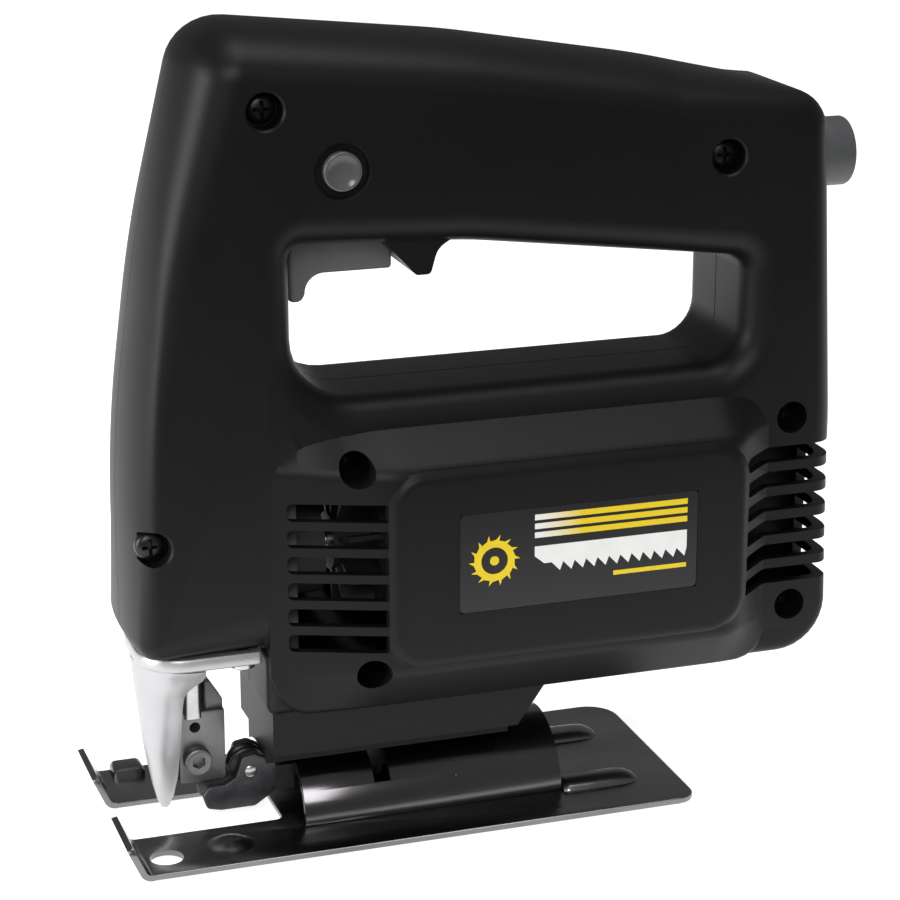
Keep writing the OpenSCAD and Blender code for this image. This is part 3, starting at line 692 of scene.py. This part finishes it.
# ---- blade holder ---------------------------------------------------------------------------
# A phosphated steel block on the end of the plunger, slotted for the blade, with a socket
# screw that clamps it. The upper part of its left face is milled back.

dull_steel = surface("dull_steel", (0.20, 0.20, 0.205), 0.42, metal=0.9, vary=0.18, patch=160,
                     grain=900, bump=0.05, rough_vary=0.1)
corners = [(-54.6, 10.8, 0.6), (-43.2, 10.8, 1.2), (-43.2, 31, 0.8), (-46.2, 35.8, 0.8),
           (-54.6, 35.8, 0.6)]
holder = plate_y("holder", outline(corners, 0, 4), -3.4, 3.4)
cut(holder, bar("milled", (-56, -4, 29), (-40, -1.6, 37)))
soften(holder, 0.3, 2, 40)
cut(holder, bar("blade_slot", (-53.2, -0.85, 9.8), (-44.8, 0.85, 27)))
cut(holder, turned("rod_hole", [(4, 27.5), (4, 40)], (plunger_x, 0, 0), "z"))
cut(holder, turned("pin_hole", [(1.6, -5), (1.3, -3.1), (1.3, 0)], (-50.6, 0, 25.1), "y", 32))
cut(holder, turned("screw_hole", [(1.5, -5), (1.5, 0)], (-50.5, 0, 17.2), "y", 32))
put_on(holder, dull_steel, "holder_steel", "plunger", "blade_holder", angle=40)

profile = [(0.9, -6.45), (2.6, -6.5), (2.95, -6.6), (3.25, -6.45), (3.4, -6.1), (3.4, -3.55),
           (3.3, -3.4), (1.5, -3.39), (1.5, -1), (1.3, -0.85)]
clamp = turned("clamp_screw", profile, (-50.5, 0, 17.2), "y", 48)
cut(clamp, turned("hex", [(1.75, -8), (1.7, -4.6)], (-50.5, 0, 17.2), "y", 6))
put_on(clamp, dull_steel, "black_steel", "plunger", "blade_screw", angle=40)

# ---- blade guide ----------------------------------------------------------------------------
# A tumbled steel arm, held up against the inside of the bracket by the tilt bolt, coloured
# darker than its steel as painted shade of the inside of the bracket. Its two cheeks carry a
# black grooved roller that backs the blade.

# painted shade: the arm's colour is kept very dark to stand for the shade inside the bracket
tumbled = surface("tumbled_steel_painted_shade", (0.075, 0.075, 0.08), 0.42, metal=0.9, vary=0.3, patch=220,
                  grain=700, bump=0.08, relief=0.0001, rough_vary=0.12)
arm = bar("arm", (-32.5, -3, 5.6), (-26, 3, 12))
add(arm, bar("tongue", (-27, -2.98, 9), (0, 2.98, 11.98)))
pad = turned("pad", [(15.44, -12.8), (15.44, -0.8)], (0, 0, 0), "x", 72)
combine(pad, bar("pad_limits", (-14, -4, 9), (0, 4, 16)), "INTERSECT")
add(arm, pad)
add(arm, bar("web", (-32.5, -5.38, 7.5), (-31.4, 5.38, 14.4)))
cheek = [(-32.2, 6, 0.5), (-31.4, 8, 0.8), (-31.4, 14.6, 1.2), (-36, 17, 1.4),
         (-39.5, 16.5, 1.4), (-41, 11.5, 1.5), (-44, 9.8, 1.5), (-48, 9.8, 1.6),
         (-49.5, 7.5, 1.4), (-48.5, 4, 1.4), (-45, 3.2, 1.5), (-36.5, 3.2, 1.5)]
for side in (-1, 1):
    low, high = sorted((side * 2.8, side * 5.4))
    plate = plate_y("cheek", outline(cheek, 0, 4), low, high)
    soften(plate, 0.7, 3, 50)
    add(arm, plate)
cut(arm, turned("bolt_hole", [(2, 8), (2, 17)], (-6.8, 0, 0), "z", 32))
cut(arm, turned("pin_hole", [(1.5, -6), (1.5, 6)], (-37.5, 0, 12.6), "y", 32))
put_on(arm, tumbled, "arm_steel", "casing", "guide_arm", angle=45)

profile = [(4.2, -2.4), (4.6, -2.1), (4.6, -1.4), (4.2, -1.0), (3.85, -0.75), (3.8, 0.75),
           (4.2, 1.0), (4.6, 1.4), (4.6, 2.1), (4.2, 2.4)]
roller = turned("grooved_roller", profile, (-37.5, 0, 12.6), "y", 64)
cut(roller, turned("roller_bore", [(1.55, -4), (1.55, 4)], (-37.5, 0, 12.6), "y", 32))
put_on(roller, black_zinc, "roller_steel", "roller", "guide_roller", angle=40)

profile = [(1.2, -5.6), (1.5, -5.35), (1.5, 5.35), (1.2, 5.6)]
pin = turned("roller_axle", profile, (-37.5, 0, 12.6), "y", 32)
put_on(pin, zinc, "ground_steel", "casing", "roller_pin", angle=40)

# ---- tilt bracket ---------------------------------------------------------------------------
# Dark bright sheet rolled to a half cylinder and welded to the sole, coloured darker still as
# a painted dark reflection of its surroundings. The tilt bolt runs in its curved slot, and
# short stamped marks along its side show the angle.

# painted reflection: the base colour is kept very dark to stand for the dark surroundings the
# sheet reflects
rolled = surface("rolled_sheet_painted_reflection", (0.13, 0.125, 0.13), 0.17, metal=1.0, vary=0.25, patch=90,
                 grain=500, bump=0.03, rough_vary=0.07, stretch=(0.15, 1, 1))


def half_tube(r_out, r_in, z_low):
    """The rolled sheet's section across the saw."""
    points = []
    for r, order in ((r_out, 1), (r_in, -1)):
        start = math.asin(z_low / r)
        span = math.pi - 2 * start
        arc = [(r * math.cos(start + span * k / 56), r * math.sin(start + span * k / 56))
               for k in range(57)]
        points += arc[::order]
    return points


section = half_tube(17.3, 15.5, 1.5)
bracket = loft("bracket", [[(x, y, z) for y, z in section] for x in (-27, 39)])
soften(bracket, 0.25, 2, 50)
slot = bar("bolt_slot", (-8.9, -15, 9.4), (-4.7, 15, 20))
cut(bracket, slot)
for k in range(-5, 6):
    a = math.radians(15 * k)
    mark = []
    x0, x1 = 9.0, 12.0 if k % 3 else 13.5
    for r, half in ((16.95, 0.16), (17.6, 0.3)):
        y, z = r * math.sin(a), r * math.cos(a)
        dy, dz = half * math.cos(a), -half * math.sin(a)
        mark.append([(x0, y - dy, z - dz), (x1, y - dy, z - dz),
                     (x1, y + dy, z + dz), (x0, y + dy, z + dz)])
    cut(bracket, loft("tick", mark))
put_on(bracket, rolled, "bracket_steel", "sole", "tilt_bracket", angle=30)

# ---- sole -----------------------------------------------------------------------------------
# Pressed bright steel sheet, coloured far darker than bright steel as a painted dark
# reflection of its surroundings: two feet either side of the blade with their front edges
# turned up, a hole in the left foot, loops for a fence and two ribs behind the bracket.

# painted reflection: the base colour is kept dark to stand for the dark surroundings the bright
# sheet reflects
sole_sheet_painted_reflection = surface("sole_sheet_painted_reflection", (0.20, 0.20, 0.205), 0.27, metal=1.0, vary=0.3, patch=45,
                     grain=600, bump=0.04, rough_vary=0.1, stretch=(0.4, 1, 1))
plan = [(-67.7, -31, 0.3), (70, -31, 5), (70, 31, 8), (-67.7, 31, 0.3), (-67.7, 10.6, 0.3),
        (-31, 10.6, 2), (-31, -10.6, 2), (-67.7, -10.6, 0.3)]
sheet = 1.5
sole = loft("sole", [[(x, y, z) for x, y in outline(plan, d, 6)]
                     for z, d in ((0, 0.3), (0.2, 0.05), (0.4, 0), (1.1, 0), (1.35, 0.05),
                                  (sheet, 0.25))])
bend_x, bend_z, lean, rise = -67.8, 3.0, math.radians(66), 6.9
lip = [(-67.4, 0.02)]
for k in range(9):
    a = -math.pi / 2 - lean * k / 8
    lip.append((bend_x + 3.0 * math.cos(a), bend_z + 2.98 * math.sin(a)))
tip = (-rise * math.cos(lean), rise * math.sin(lean))
lip.append((lip[-1][0] + tip[0], lip[-1][1] + tip[1]))
inner = []
for k in range(8, -1, -1):
    a = -math.pi / 2 - lean * k / 8
    inner.append((bend_x + 1.52 * math.cos(a), bend_z + 1.52 * math.sin(a)))
lip.append((inner[0][0] + tip[0], inner[0][1] + tip[1]))
lip += inner + [(-67.4, 1.48)]
for low, high in ((-30.9, -10.75), (10.75, 30.9)):
    edge = plate_y("lip", lip, low, high)
    front_view = outline([(low, -2, 0.3), (high, -2, 0.3), (high, 9.2, 2.5), (low, 9.2, 2.5)])
    keep = loft("lip_front", [[(x, y, z) for y, z in front_view] for x in (-90, -60)])
    combine(edge, keep, "INTERSECT")
    soften(edge, 0.3, 2, 50)
    add(sole, edge)


def ridge(name, y):
    """A pressed rib: a low round ridge that closes down at both ends."""
    half_wide, tall, foot = 4.4, 2.7, 0.9
    rings = []
    for x, share in ((39.4, 0.7), (39.9, 0.9), (41, 1), (52, 1), (55, 0.97), (57, 0.85),
                     (58.5, 0.62), (59.5, 0.35), (60, 0.12)):
        r_y, r_z = half_wide * (0.55 + 0.45 * share), tall * share + 0.1
        arch = [(x, y + r_y * math.cos(math.pi * k / 14),
                 foot + 0.1 + r_z * math.sin(math.pi * k / 14)) for k in range(1, 14)]
        rings.append([(x, y + r_y, foot)] + arch + [(x, y - r_y, foot)])
    return loft(name, rings)


for y in (-14.5, 14.5):
    add(sole, ridge("rib", y))
loop = loft("loop", [[(x, y, z) for x, z in
                      outline([(-65.4, 1, 0.2), (-57.4, 1, 0.2), (-57.4, 3.88, 1.6),
                               (-65.4, 3.88, 1.6)])] for y in (25, 30.95)])
soften(loop, 0.3, 2, 50)
add(sole, loop)
cut(sole, bar("fence_way", (-64.3, 24, sheet - 0.02), (-58.5, 32, sheet + 1.6)))
dimple = [(6.2, 0.9), (6.0, sheet), (5.4, 1.6), (4.4, 2.1), (3.0, 2.7), (1.5, 3.02), (0.3, 3.1)]
add(sole, turned("dimple", dimple, (-46.5, -20.4, 0), "z", 48))
cut(sole, turned("foot_hole", [(4.25, -1), (4.0, 0.25), (4.0, 1.25), (4.25, 3)],
                 (-62.6, -22.6, 0), "z", 56))
cut(sole, turned("key_hole", [(3.2, -1), (3.2, 3)], (-6.8, 0, 0), "z"))
put_on(sole, sole_sheet_painted_reflection, "sole_steel", "sole", "sole_plate", angle=35)

# ---- works inside the casing ----------------------------------------------------------------
# Motor, switch, gears, plunger, bushes and bolts keep their own shapes. Each gets the finish
# of its material: they show through the cooling slots and from below. The cast plates are
# coloured very dark, painted shade of the inside of the casing.

inner_finishes = {
    "switch_plastic": surface("switch_plastic", (0.02, 0.02, 0.021), 0.5),
    "zinc_steel": zinc,
    "spring_steel": surface("spring_wire", (0.5, 0.5, 0.5), 0.25, metal=1.0, patch=500),
    "lamination": surface("stacked_sheet", (0.10, 0.10, 0.11), 0.5, metal=0.8, vary=0.3,
                          patch=900, stretch=(4, 0.2, 0.2)),
    "copper": surface("copper_winding", (0.30, 0.11, 0.04), 0.42, metal=0.7, vary=0.35,
                      patch=700, bump=0.1, relief=0.0002),
    "ground_steel": surface("ground_steel", (0.5, 0.5, 0.51), 0.2, metal=1.0, patch=200),
    "brass": surface("pressed_brass", (0.5, 0.36, 0.12), 0.3, metal=1.0, patch=200),
    "carbon": surface("carbon_block", (0.02, 0.02, 0.02), 0.7, patch=400),
    "fan_plastic": surface("fan_plastic", (0.02, 0.02, 0.021), 0.5),
    # painted shade: cast alloy coloured very dark to stand for the shade inside the casing
    "cast_alloy": surface("cast_plate_painted_shade", (0.07, 0.07, 0.075), 0.6, metal=0.5, patch=120),
    "gear_steel": surface("gear_steel", (0.14, 0.14, 0.15), 0.4, metal=1.0, patch=200),
    "bronze": surface("bush_bronze", (0.4, 0.26, 0.1), 0.4, metal=1.0, patch=300),
    "felt": surface("oiled_felt", (0.03, 0.028, 0.025), 0.9, patch=500, bump=0.2),
    "black_steel": black_zinc,
}
slot_of = {part["node"]: part["material_slot"] for part in frame["record"]["subparts"]}
for name, node in nodes.items():
    if not node.hide_render:
        node.data.materials.clear()
        node.data.materials.append(inner_finishes[slot_of[name]])
